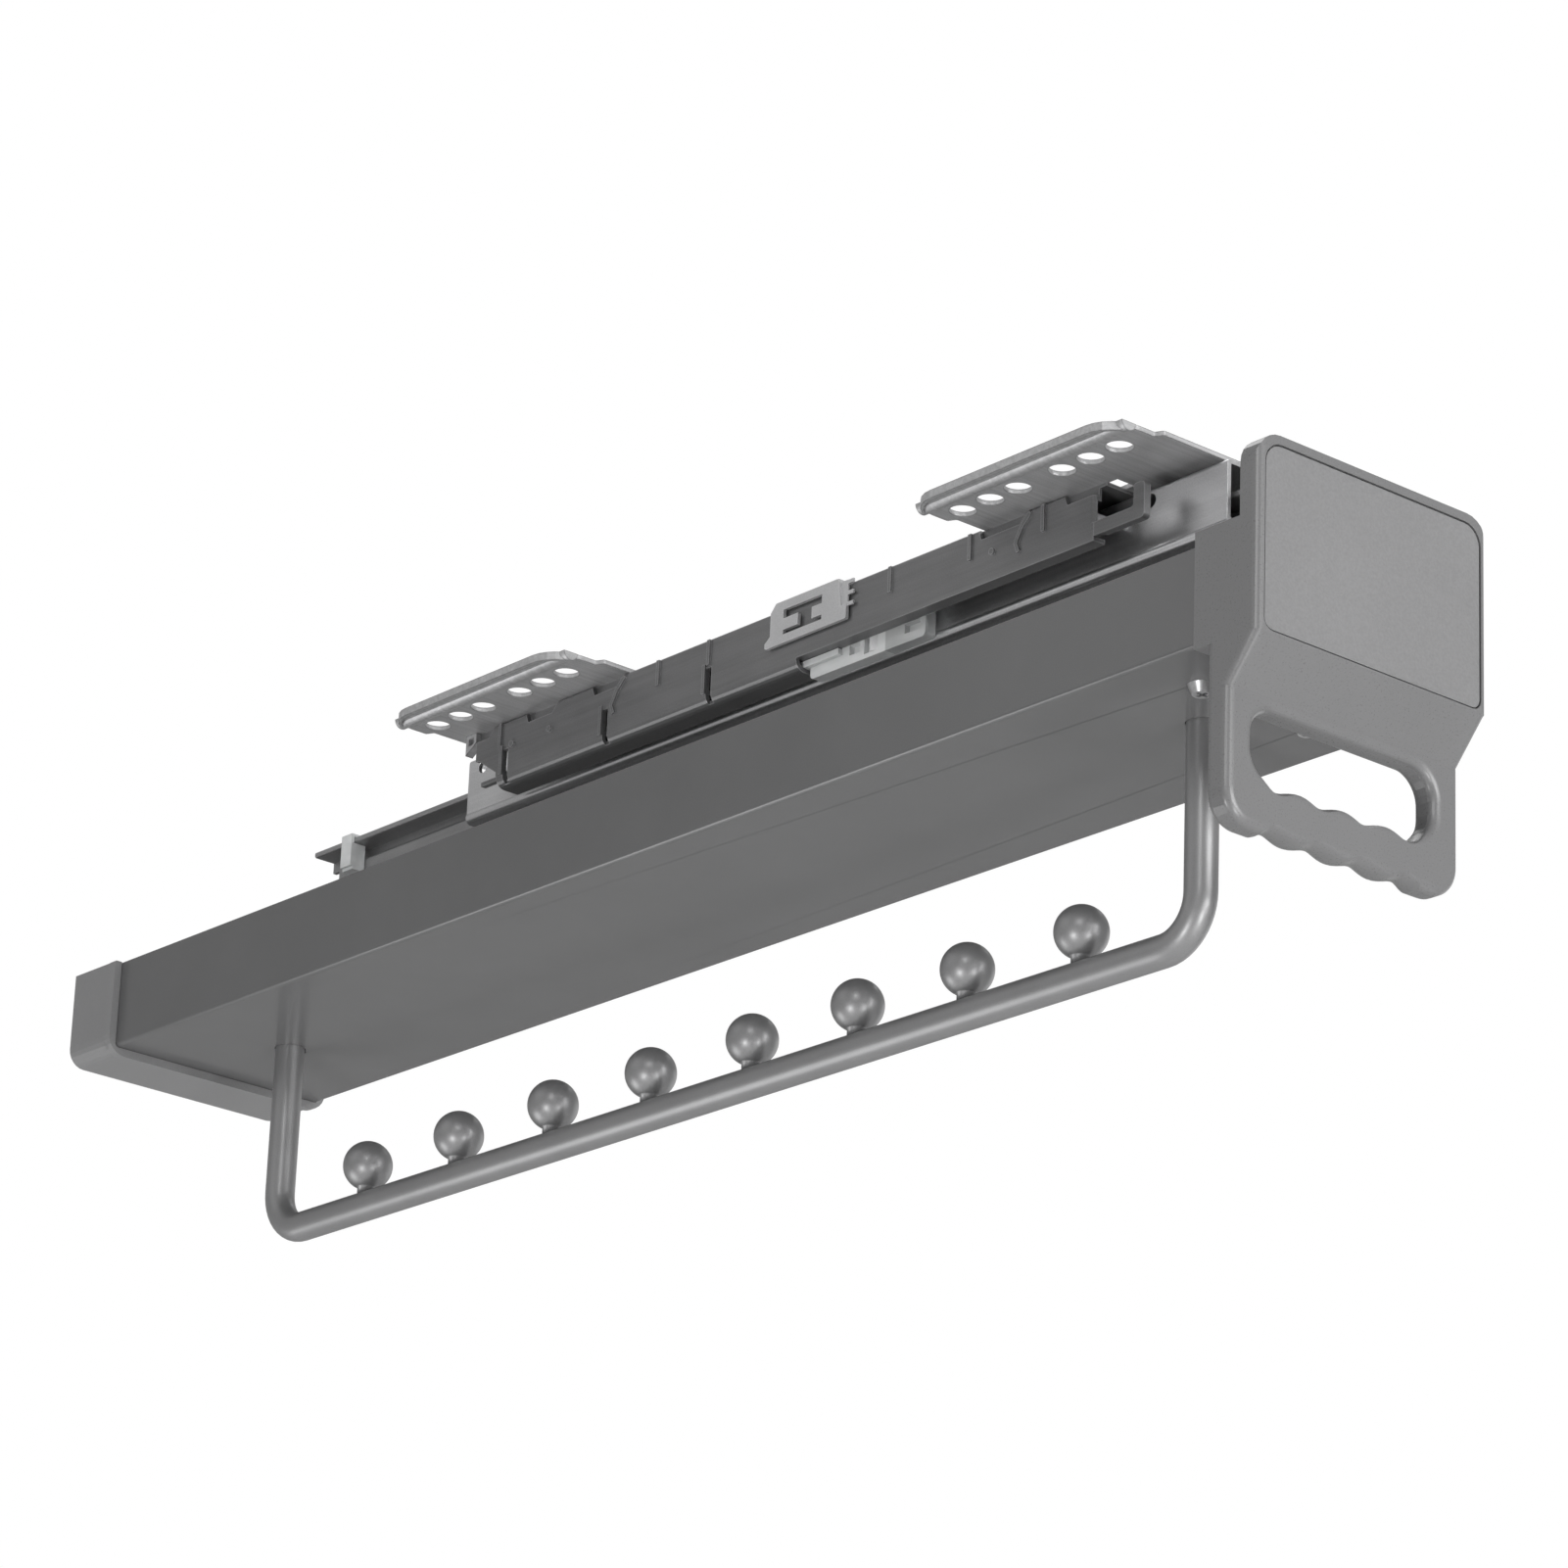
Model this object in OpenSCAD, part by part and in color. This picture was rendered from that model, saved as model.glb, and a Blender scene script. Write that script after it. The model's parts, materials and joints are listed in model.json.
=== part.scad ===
// Pull-out trouser rack carried by a three-part slide under a shelf.
// X runs across, Y from the grip at the front (-Y) to the rear cap (+Y), Z up.
// The origin is on the face that meets the shelf, in the middle of the outer screw holes.
// Heights in the modules count from the underside of the tray beam, and lengths
// from the rear edge of the collar of the front panel; place() moves both.

/* [Tray beam] */
// Outside width of the tray beam
beam_w = 70.6; // [64:0.2:84]
// Height of the side walls of the beam
beam_h = 24.8; // [22:0.2:25]
// Thickness of the side walls
beam_wall = 1.8; // [1.4:0.1:2.4]
// Thickness of the floor
beam_floor = 2.2; // [1.6:0.1:2.6]
// Radius of the lower outer edges
beam_edge_r = 1.2; // [0.8:0.1:1.8]
// Length of beam that shows between the collar and the rear cap
beam_shown = 433; // [425:1:480]
// Depth of the beam inside the front collar
beam_in_collar = 9; // [7:0.5:10]
// Width of the inward lip along the top of each wall
beam_lip_w = 3; // [2:0.2:5]
// Thickness of that lip
beam_lip_t = 1.2; // [1:0.1:1.6]
// Half distance between the two seat tracks on the floor
track_hw = 21; // [20.5:0.1:24]
// Thickness of the track ribs and of their lips
track_t = 1.4; // [1.2:0.1:1.8]
// Overhang of the track lips
track_lip = 1.6; // [1.2:0.1:2]
// Height of the slot under the track lips
track_slot = 2.5; // [2.2:0.1:3]

/* [Rear cap] */
// Depth of the rear cap along the beam
cap_depth = 20.4; // [16:0.2:26]
// Wall of the cap outside the beam
cap_wall = 1.7; // [1.5:0.1:2.6]
// Thickness of the closed end of the cap
cap_end_t = 3; // [2:0.2:5]
// Width of the raised rim round the mouth of the cap
cap_rim_w = 2.4; // [1.6:0.1:3.5]
// Radius of the lower outer corners of the cap
cap_r = 5; // [4:0.5:7]

/* [Front panel] */
// Width of the front panel
panel_w = 76.2; // [75.2:0.1:78]
// Height of the panel above the beam's underside
panel_up = 47.1; // [44:0.1:50]
// Height of the lower edge of the flat front below the beam's underside
panel_flat_down = 2.2; // [1.5:0.1:4]
// Distance of the front face ahead of the rear edge of the collar
panel_face = 20.4; // [19.5:0.1:22]
// Thickness of the upper part of the panel
panel_t = 5.9; // [5.5:0.1:7]
// Radius of the upper corners
panel_r = 7; // [4:0.5:10]
// Radius of the long front edges
panel_edge_r = 2.2; // [1:0.1:3]
// Thickness of the skin and the stiffening ribs behind the panel
panel_skin = 2.2; // [1.8:0.1:2.6]
// Thickness of the collar above and below the beam
collar_wall = 2; // [1.6:0.1:2.2]
// Gap between the beam and what it slides into
beam_fit = 0.1; // [0.05:0.05:0.15]
// Margin of the panel round the inset front plate
plate_margin = 2.6; // [2:0.1:4]
// Thickness of the inset front plate
plate_t = 1.2; // [1:0.1:1.6]
// Corner radius of the inset front plate
plate_r = 5; // [3:0.5:7]
// Gap round the inset front plate
plate_gap = 0.4; // [0.3:0.05:0.6]

/* [Grip] */
// Depth of the grip below the beam's underside
grip_down = 46; // [43:0.2:54]
// Thickness of the grip from front to rear
grip_t = 7.3; // [6:0.1:8.5]
// Distance of the rear of the grip ahead of the rear edge of the collar
grip_back = 4; // [3:0.1:5]
// Height of the sloped band above the grip
slope_h = 11.2; // [9:0.2:13]
// Width of the finger opening
opening_w = 59.4; // [54:0.2:61]
// Height of the lower bar of the grip
bar_h = 12.8; // [11:0.2:14]
// Web between the slope and the finger opening
opening_web = 2.8; // [2.4:0.1:4]
// Radius of the corners of the finger opening
opening_r = 7; // [5:0.5:8]
// Radius of the lower corners of the grip
grip_r = 8; // [5:0.5:10]
// Distance from one finger groove to the next
finger_pitch = 14.2; // [13:0.1:15]
// Depth of the finger grooves
finger_depth = 1.3; // [0.6:0.1:1.6]
// Number of finger grooves
finger_count = 4; // [2:1:4]
// Radius that softens the long edges of the grip
grip_edge_r = 2.2; // [1.6:0.1:2.3]

/* [Hanging rod] */
// Diameter of the bent rod
rod_d = 8.2; // [7:0.1:9]
// Distance of the front leg behind the collar
rod_front = 35.4; // [33:0.2:40]
// Distance between the two legs
rod_span = 363; // [340:1:366]
// Depth of the rod's lower run below the beam
rod_drop = 54; // [50:0.2:70]
// Radius of the two bends at the middle of the rod
rod_bend_r = 12; // [11:0.5:18]
// Number of stop balls
ball_count = 8; // [4:1:8]
// Distance from ball to ball
ball_pitch = 40.3; // [30:0.1:41]
// Diameter of the balls
ball_d = 13.6; // [12:0.1:16]
// Gap between a ball and the rod, bridged by the neck
ball_neck = 0.6; // [0.4:0.1:1.5]
// Diameter of the neck under each ball
neck_d = 5; // [4:0.2:6.5]

/* [Slide] */
// Height of the middle rail's lower edge above the beam's underside
mid_z = 38; // [36:0.2:40]
// Height of the middle rail
mid_h = 18.4; // [18:0.1:20]
// Outside width of the middle rail at its rolled edge
mid_w = 33; // [32.8:0.1:34]
// Length of the middle rail
mid_len = 289.4; // [280:0.2:300]
// Distance of the middle rail behind the collar
mid_front = 11.8; // [10:0.2:14]
// Radius of the rolled lower edge
mid_roll_r = 1.8; // [1.6:0.1:2]
// Reach of the inward lip of the middle rail
mid_lip = 6; // [5:0.1:6.2]
// Thickness of the rail sheet
sheet = 1.2; // [1:0.05:1.3]
// Height of the carrying flange above the middle rail's lower edge
flange_up = 12.5; // [12:0.1:13.5]
// Reach of the carrying flange outside the middle rail
flange_reach = 6.1; // [5.4:0.1:6.2]
// Distance of the flange behind the front of the middle rail
flange_set = 38; // [34:0.5:60]
// Distance of the flange's end ahead of the rear of the middle rail
flange_back = 15.2; // [14.8:0.2:18]
// Outside width of the fixed rail
fixed_w = 50; // [50:0.1:51]
// Length of the fixed rail
fixed_len = 241.4; // [236:0.2:250]
// Distance of the fixed rail behind the collar
fixed_front = 45.4; // [44:0.2:48]
// Thickness of the top of the fixed rail
fixed_top_t = 1; // [0.8:0.1:1.4]
// Gap over the middle rail
top_gap = 0.8; // [0.6:0.1:1.2]
// Width of the roller ledge, the wall included
ledge_w = 3.8; // [3.5:0.1:4]
// Distance of the lower shroud behind the front of the fixed rail
shroud_set = 110.6; // [100:0.2:120]
// Length of the lower shroud
shroud_len = 121.5; // [100:0.5:126]
// Depth of the shroud below the ledge
shroud_drop = 3.2; // [3:0.1:4]
// Radius of the lower corner of the shroud
shroud_r = 3; // [2:0.1:3.2]
// Travel of the middle rail, half of the pull-out
mid_travel = 150; // [120:5:150]

/* [Drawer rail] */
// Height of the rail's feet above the beam's underside
rail_foot_z = 26; // [25.6:0.1:28]
// Width over the feet
rail_foot_w = 32; // [31:0.5:34]
// Width of the body of the rail
rail_body_w = 19; // [18:0.1:19.2]
// Height of the body above the feet
rail_body_h = 18.2; // [17.8:0.1:18.6]
// Width of the neck under the head
rail_neck_w = 14; // [12:0.2:15]
// Width of the head
rail_head_w = 27.2; // [27:0.1:27.3]
// Thickness of the folded head
rail_head_t = 1.6; // [1.4:0.1:1.8]
// Length of the drawer rail
rail_len = 369.7; // [366:0.1:380]
// Distance of the rail behind the collar
rail_front = 4; // [2:0.5:8]
// Overhang of the head behind the body of the rail
head_over = 6.4; // [4:0.2:10]

/* [Rollers and cages] */
// Diameter of the rollers in the outer cages
outer_roller_d = 6; // [5.8:0.05:6.2]
// Diameter of the rollers in the inner cage
inner_roller_d = 7.9; // [7.8:0.05:8]
// Gap between a roller and its track
roll_gap = 0.05; // [0.03:0.01:0.08]
// Gap between a roller and its pin
pin_gap = 0.05; // [0.03:0.01:0.08]
// Diameter of the roller pins
pin_d = 2.2; // [2:0.1:2.6]
// Side gap of moving pieces
side_gap = 0.3; // [0.2:0.05:0.35]
// Length of the outer cages
outer_cage_len = 114; // [108:1:118]
// Distance of the outer cages behind the collar
outer_cage_front = 112; // [111:0.5:116]
// Thickness of the web of the outer cages
outer_web_t = 3.4; // [3:0.1:3.4]
// Length of the part of each outer cage that hangs below the ledge
hang_len = 43; // [41:0.5:43.5]
// Diameter of the upright guide rollers
guide_d = 4; // [3.6:0.1:4.1]
// Distance of the inner cage behind the collar
inner_cage_front = 96; // [93:0.5:100]
// Length of the inner cage
inner_cage_len = 264; // [250:1:268]
// Thickness of the strip of the inner cage
inner_strip_t = 0.8; // [0.6:0.1:1.6]
// Thickness of the cheeks of the inner cage
cheek_t = 0.85; // [0.7:0.05:0.9]

/* [Brackets] */
// Width across both wings of a bracket
bracket_w = 95.4; // [92:0.2:104]
// Length of the wings
bracket_len = 72; // [68:1:78]
// Thickness of the bracket plate
bracket_t = 1.2; // [1:0.1:2]
// Middle of the front bracket behind the front of the fixed rail
bracket_set = 9.1; // [7:0.1:12]
// Middle of the rear bracket ahead of the rear of the fixed rail
bracket_back = 24.9; // [22:0.1:26]
// Step between the wings and the middle of the plate
bracket_step = 2.2; // [1:0.1:3]
// Radius of the outer corners
bracket_r = 9; // [5:0.5:11]
// Diameter of the screw holes
hole_d = 6.8; // [6:0.1:7.4]
// Distance between holes of one group
hole_pitch = 9.8; // [9:0.1:10.5]
// Gap between the two groups, hole to hole
hole_group = 15.4; // [12:0.1:18]
// Distance between the two rows of holes
hole_rows = 70.8; // [68:0.2:76]
// Shift of the holes behind the middle of the wings
hole_shift = 1.4; // [0:0.1:2]
// Height of the pressed bead beside the holes
bead_h = 1; // [0.6:0.1:1.4]
// Distance of the bead inside the outer edge
bead_set = 5.6; // [4.6:0.1:7]

/* [Hidden] */

// Overrun of every cut past the face it breaks through
over = 1;
// Overrun of a hole that its screw, rivet or pin fills
seat_fit = 0.01;
// Segments of one rounded corner in an outline
corner_steps = 6;
// Half a turn, in degrees
half_turn = 180;
$fn = 48;

// Heights of the slide, counted up from the underside of the beam
lip_top = mid_z + sheet;
head_under = lip_top + inner_roller_d + 2 * roll_gap;
head_top = head_under + rail_head_t;
body_top = rail_foot_z + rail_body_h;
mid_top = mid_z + mid_h;
flange_under = mid_z + flange_up;
ledge_top = flange_under - outer_roller_d - 2 * roll_gap;
ledge_z = ledge_top - sheet;
shroud_z = ledge_z - shroud_drop;
fixed_ceiling = mid_top + top_gap;
fixed_top = fixed_ceiling + fixed_top_t;
mount_z = fixed_top + bracket_t;

// Half widths of the slide
mid_hw = mid_w / 2;
mid_wall_hw = mid_hw - side_gap;
mid_inner_hw = mid_wall_hw - sheet;
flange_hw = mid_hw + flange_reach;
fixed_hw = fixed_w / 2;
fixed_inner_hw = fixed_hw - sheet;
ledge_hw = fixed_hw - ledge_w;
shroud_lip_hw = mid_hw + side_gap + 2 * side_gap;
body_hw = rail_body_w / 2;
head_hw = rail_head_w / 2;

// Places along the rack
fixed_rear = fixed_front + fixed_len;
bracket_front = fixed_front + bracket_set;
bracket_rear = fixed_rear - bracket_back;
mid_rear = mid_front + mid_len;
rail_rear = rail_front + rail_len;
mount_y = (bracket_front + bracket_rear) / 2 + hole_shift;
rod_rear = rod_front + rod_span;
beam_rear = beam_shown + cap_depth - cap_end_t;
hole_places = [for (s = [-1, 1], i = [0, 1, 2]) s * (hole_group / 2 + i * hole_pitch)];

// Moves everything from the beam's own frame to the frame of the rack
module place() {
    translate([0, -mount_y, -mount_z]) children();
}

// Outline in X and Z, drawn out along Y between two places
module along_y(y0, y1) {
    translate([0, y1, 0]) rotate([90, 0, 0]) linear_extrude(y1 - y0) children();
}

// Outline in Y and Z, drawn out along X between two places
module along_x(x0, x1) {
    translate([x0, 0, 0]) rotate([90, 0, 90]) linear_extrude(x1 - x0) children();
}

// Outline in X and Y, drawn out along Z between two heights
module along_z(z0, z1) {
    translate([0, 0, z0]) linear_extrude(z1 - z0) children();
}

// Rectangle between two corners
module rect(x0, y0, x1, y1) {
    translate([x0, y0]) square([x1 - x0, y1 - y0]);
}

// Box between two corners
module box(x0, y0, z0, x1, y1, z1) {
    translate([x0, y0, z0]) cube([x1 - x0, y1 - y0, z1 - z0]);
}

// Both sides of a piece that is alike on the left and the right
module both_sides() {
    children();
    mirror([1, 0, 0]) children();
}

// Points of the round at corner b of the path a, b, c
function round_corner(a, b, c, r) =
    r <= 0 ? [b] :
    let (
        u = (a - b) / norm(a - b),
        v = (c - b) / norm(c - b),
        half = acos(u * v) / 2,
        mid = b + (u + v) / norm(u + v) * r / sin(half),
        s = b + u * r / tan(half) - mid,
        e = b + v * r / tan(half) - mid,
        start = atan2(s[1], s[0]),
        turn = (atan2(e[1], e[0]) - start + 3 * half_turn) % (2 * half_turn) - half_turn
    )
    [for (i = [0 : corner_steps]) let (t = start + turn * i / corner_steps) mid + r * [cos(t), sin(t)]];

// Outline whose points are [x, y, corner radius]
module rounded(path) {
    n = len(path);
    xy = [for (p = path) [p[0], p[1]]];
    polygon([
        for (i = [0 : n - 1])
            each round_corner(xy[(i + n - 1) % n], xy[i], xy[(i + 1) % n], path[i][2])
    ]);
}

// Outline of the beam as a solid bar, grown by a fit; the foot has rounded corners
module beam_outline(grow, r) {
    hw = beam_w / 2 + grow;
    rounded([[-hw, -grow, r], [hw, -grow, r], [hw, beam_h + grow, 0], [-hw, beam_h + grow, 0]]);
}

// Brackets

// Plate of one bracket seen from above, with its middle at y
module bracket_outline(y) {
    hw = bracket_w / 2;
    neck = hole_rows / 2 - hole_d / 2 + beam_wall;
    y0 = y - bracket_len / 2;
    y1 = y + bracket_len / 2;
    r = bracket_r;
    s = bracket_step;
    rounded([
        [-hw, y0, r], [-neck, y0, s / 4], [-neck + s / 2, y0 - s, s / 4],
        [neck - s / 2, y0 - s, s / 4], [neck, y0, s / 4], [hw, y0, r],
        [hw, y1, r], [neck, y1, s / 4], [neck - s / 2, y1 - s, s / 4],
        [-neck + s / 2, y1 - s, s / 4], [-neck, y1, s / 4], [-hw, y1, r]
    ]);
}

// Pressed bead that runs beside the holes, on the underside
module bracket_bead(y) {
    r = (bead_h * bead_h + bead_set * bead_set / 9) / (2 * bead_h);
    intersection() {
        translate([-bracket_w / 2 + bead_set, 0, fixed_top + r - bead_h])
            along_y(y - bracket_len / 2, y + bracket_len / 2) circle(r);
        box(-bracket_w / 2, y - bracket_len / 2, fixed_top - bead_h - over, 0, y + bracket_len / 2, mount_z);
    }
}

// Edge of the wing, turned down a little, following its rounded corners
module bracket_rim(y) {
    w = bracket_t;
    difference() {
        along_z(fixed_top - bead_h, fixed_top + bracket_t / 2) bracket_outline(y);
        along_z(fixed_top - bead_h - over, mount_z) intersection() {
            translate([w, 0]) bracket_outline(y);
            translate([-w, 0]) bracket_outline(y);
        }
        box(-hole_rows / 2 - hole_d, y - bracket_len, fixed_top - 2 * bead_h,
            hole_rows / 2 + hole_d, y + bracket_len, mount_z);
    }
}

// Screw holes of one bracket
module bracket_holes(y) {
    for (x = [-hole_rows / 2, hole_rows / 2], dy = hole_places)
        translate([x, y + hole_shift + dy, fixed_top - over]) cylinder(h = bracket_t + 2 * over, d = hole_d);
}

rivet_d = 4;
rivet_head_d = 6.4;
rivet_x = 12;
rivet_in = 10;
rivet_pitch = 26;

// Rivets at one end of the fixed rail, or their holes when grown; both ends are flush.
// The first pair is rivet_in from the end, and side points from the end into the rail
module rivets(end, side, grow) {
    for (x = [-rivet_x, rivet_x], dy = [rivet_in, rivet_in + rivet_pitch])
        translate([x, end + side * dy, 0]) {
            translate([0, 0, fixed_ceiling - grow])
                cylinder(h = fixed_top_t + bracket_t + 2 * grow, d = rivet_d);
            translate([0, 0, mount_z - bracket_t / 2]) cylinder(h = bracket_t / 2 + grow, d = rivet_head_d);
        }
}

// Window left by a tab that is cut and bent down, open under the shelf
tab_window = 5.6;
tab_x = fixed_hw - 2 * sheet;

// Plate, bead, rim and holes of one bracket on the given end of the fixed rail
module bracket(y, window_y, end, side) {
    difference() {
        union() {
            along_z(fixed_top, mount_z) bracket_outline(y);
            both_sides() bracket_bead(y);
            bracket_rim(y);
        }
        bracket_holes(y);
        rivets(end, side, seat_fit);
        both_sides() box(-tab_x, window_y - tab_window / 2, fixed_top - over,
            -tab_x + tab_window, window_y + tab_window / 2, mount_z + over);
    }
}

module front_bracket() {
    color([0.42, 0.42, 0.43]) place() bracket(bracket_front, fixed_front, fixed_front, 1);
}

// Rear bracket with the hooked stop tab that hangs behind the fixed rail
hook_drop = 5.6;
hook_len = 4.4;
module rear_bracket() {
    y = fixed_rear + side_gap;
    color([0.42, 0.42, 0.43]) place() {
        bracket(bracket_rear, fixed_rear + hook_len / 2, fixed_rear, -1);
        both_sides() along_x(-fixed_hw, -fixed_hw + 2 * sheet) difference() {
            polygon([
                [y, fixed_top], [y + hook_len, fixed_top],
                [y + hook_len, fixed_top - hook_drop], [y, fixed_top - hook_drop / 2]
            ]);
            polygon([
                [y + sheet, fixed_top - sheet], [y + hook_len - sheet, fixed_top - sheet],
                [y + hook_len - sheet, fixed_top - hook_drop + 2 * sheet],
                [y + sheet, fixed_top - hook_drop / 2]
            ]);
        }
    }
}

module front_rivets() {
    color([0.62, 0.62, 0.63]) place() rivets(fixed_front, 1, 0);
}

module rear_rivets() {
    color([0.62, 0.62, 0.63]) place() rivets(fixed_rear, -1, 0);
}

// Fixed rail

rib_w = 1.1;
rib_h = 0.6;
rib_top = fixed_top - rib_h;
rib_foot = fixed_top - 7.5;
slot_w = 2;
slot_top = fixed_top - 8.2;
slot_shares = [0.6, 0.773, 0.946];
slot_y = [for (u = slot_shares) fixed_front + u * fixed_len];
rib_shares = [0.083, 0.191, 0.312, 0.6, 0.684, 0.956];
rib_y = [for (u = rib_shares) fixed_front + u * fixed_len];
turn_r = 1.1;
turn_set = 2.6;
wall_front = fixed_front + turn_set;
seat_depth = 3;
seat_slope_front = 2.6;
seat_slope_rear = 1.3;
// Gaps between the pads of a bracket seat, as shares of the bracket's length from its middle
seat_gap_shares = [[-0.51, -0.328], [-0.138, 0.058], [0.236, 0.48]];
// Places of the two pressed step lines along the rail, and their shape as shares of its wall
step_shares = [0.1015, 0.7405];
step_line_shares = [[0, 0], [0.2, 0.2], [0.34, 0.45], [0.27, 0.62]];
dimple_shares = [0.158, 0.869, 0.935];
dimple_d = 1.8;

// Section of the fixed rail: top, two walls and the narrow roller ledges
module fixed_section() {
    difference() {
        rounded([
            [-fixed_hw, ledge_z, 0], [fixed_hw, ledge_z, 0],
            [fixed_hw, fixed_top, sheet], [-fixed_hw, fixed_top, sheet]
        ]);
        rect(-fixed_inner_hw, ledge_top, fixed_inner_hw, fixed_ceiling);
        rect(-ledge_hw, ledge_z - over, ledge_hw, ledge_top + over);
    }
}

// Section of the lower shroud, whose lips turn in towards the middle rail
module shroud_section() {
    r = shroud_r;
    difference() {
        rounded([
            [-fixed_hw, shroud_z, r], [fixed_hw, shroud_z, r],
            [fixed_hw, ledge_top, 0], [-fixed_hw, ledge_top, 0]
        ]);
        rounded([
            [-fixed_inner_hw, shroud_z + sheet, r - sheet], [fixed_inner_hw, shroud_z + sheet, r - sheet],
            [fixed_inner_hw, ledge_z, 0], [-fixed_inner_hw, ledge_z, 0]
        ]);
        rect(-shroud_lip_hw, shroud_z - over, shroud_lip_hw, shroud_z + sheet + over);
        rect(-ledge_hw, ledge_z - over, ledge_hw, ledge_top + over);
    }
}

// Straight upright ribs pressed out of the wall
module wall_ribs() {
    for (y = rib_y)
        box(-fixed_hw - rib_h, y - rib_w / 2, rib_foot, -fixed_hw + rib_h, y + rib_w / 2, rib_top);
}

// Points at one side of a bent line, moved off it by a distance
function beside(points, off) = [
    for (i = [0 : len(points) - 1])
        let (
            d = points[min(i + 1, len(points) - 1)] - points[max(i - 1, 0)]
        )
        points[i] + off * [-d[1], d[0]] / norm(d)
];

// Thin raised line through points in Y and Z, pressed out of the wall
module wall_line(points) {
    left = beside(points, rib_w / 2);
    right = beside(points, -rib_w / 2);
    along_x(-fixed_hw - rib_h, -fixed_hw + rib_h)
        polygon(concat(left, [for (i = [len(right) - 1 : -1 : 0]) right[i]]));
}

// Step line that leans back as it goes down the wall, from the top at y
module step_line(y) {
    h = fixed_top - ledge_z;
    wall_line([for (p = step_line_shares) [y + p[0] * h, rib_top - rib_w / 2 - p[1] * h]]);
}

// Upright slots in the wall, down to its lower corner
module wall_slots(grow) {
    for (y = slot_y)
        box(-fixed_hw - rib_h - over, y - slot_w / 2, shroud_z + sheet / 2,
            -fixed_inner_hw + grow, y + slot_w / 2, slot_top);
}

// Raised lips behind the slots
module slot_lips() {
    for (y = slot_y)
        box(-fixed_hw - rib_h, y + slot_w / 2, shroud_z + shroud_r,
            -fixed_hw + rib_h, y + slot_w / 2 + rib_w, slot_top + rib_w);
}

// Gaps between the pads on which a bracket with its middle at y sits, in Y and Z
module seat_gaps(y, rise) {
    floor_z = fixed_top - seat_depth;
    for (g = seat_gap_shares)
        polygon([
            [y + g[0] * bracket_len, fixed_top + rise], [y + g[0] * bracket_len, fixed_top],
            [y + g[0] * bracket_len + seat_slope_front, floor_z],
            [y + g[1] * bracket_len - seat_slope_rear, floor_z],
            [y + g[1] * bracket_len, fixed_top], [y + g[1] * bracket_len, fixed_top + rise]
        ]);
}

// Sheet set back behind the gaps of both bracket seats
module seat_backs() {
    along_x(-fixed_inner_hw - sheet / 3, -fixed_inner_hw + sheet) intersection() {
        rect(wall_front, fixed_top - seat_depth - sheet, fixed_rear, fixed_ceiling + fixed_top_t / 2);
        union() {
            for (y = [bracket_front, bracket_rear])
                rect(y + seat_gap_shares[0][0] * bracket_len, ledge_z,
                    y + seat_gap_shares[2][1] * bracket_len, mount_z);
        }
    }
}

// Cut that rounds an outer edge; the edge is at the origin, the material towards -X and -Y
module edge_cut(r) {
    polygon(concat(
        [[over, -r]],
        [for (i = [0 : corner_steps]) let (t = 90 * i / corner_steps) [r * (cos(t) - 1), r * (sin(t) - 1)]],
        [[-r, over], [over, over]]
    ));
}

module fixed_rail() {
    shroud_y = fixed_front + shroud_set;
    color([0.4, 0.4, 0.41]) place() difference() {
        union() {
            difference() {
                union() {
                    along_y(fixed_front, fixed_rear) fixed_section();
                    along_y(shroud_y, shroud_y + shroud_len) shroud_section();
                    both_sides() seat_backs();
                }
                // gaps of the seats, and the walls set back from the front edge of the top
                both_sides() {
                    along_x(-fixed_hw - over, -fixed_inner_hw + sheet / 3)
                        for (y = [bracket_front, bracket_rear]) seat_gaps(y, over);
                    box(-fixed_hw - over, fixed_front - over, ledge_z - over,
                        -ledge_hw + over, wall_front, fixed_ceiling);
                }
            }
            both_sides() {
                wall_ribs();
                slot_lips();
                for (u = step_shares) step_line(fixed_front + u * fixed_len);
                for (u = dimple_shares)
                    along_x(-fixed_hw - rib_h, -fixed_hw + rib_h)
                        translate([fixed_front + u * fixed_len, rib_foot]) circle(d = dimple_d);
            }
        }
        both_sides() {
            wall_slots(rib_h);
            // rounded front end of the wall, above the catch
            translate([-fixed_hw, wall_front, 0]) rotate([0, 0, half_turn])
                along_z(ledge_top + catch_bar, fixed_top - seat_depth + over) edge_cut(turn_r);
            // cut-back lower corner at the rear
            along_x(-fixed_hw - over - rib_h, -fixed_inner_hw + over)
                polygon([
                    [fixed_rear - seat_depth * 3, ledge_z - over], [fixed_rear - seat_depth * 3, ledge_top],
                    [fixed_rear - rib_w, rib_foot - over], [fixed_rear + over, rib_foot - over],
                    [fixed_rear + over, ledge_z - over]
                ]);
        }
        rivets(fixed_front, 1, seat_fit);
        rivets(fixed_rear, -1, seat_fit);
    }
}

clip_len = 30;
clip_set = 90.2;
clip_t = 1;
clip_drop = 10.4;
clip_rise = 1.1;
clip_roof = 8;
// Window and tongues of the clip, as shares of its length and height
window_shares = [0.31, 0.2, 0.8, 0.79];
front_tongue_shares = [0.31, 0.31, 0.47, 0.58];
rear_tongue_shares = [0.58, 0.31, 0.8, 0.58];
tooth_shares = [0.3, 0.56, 0.82];

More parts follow.
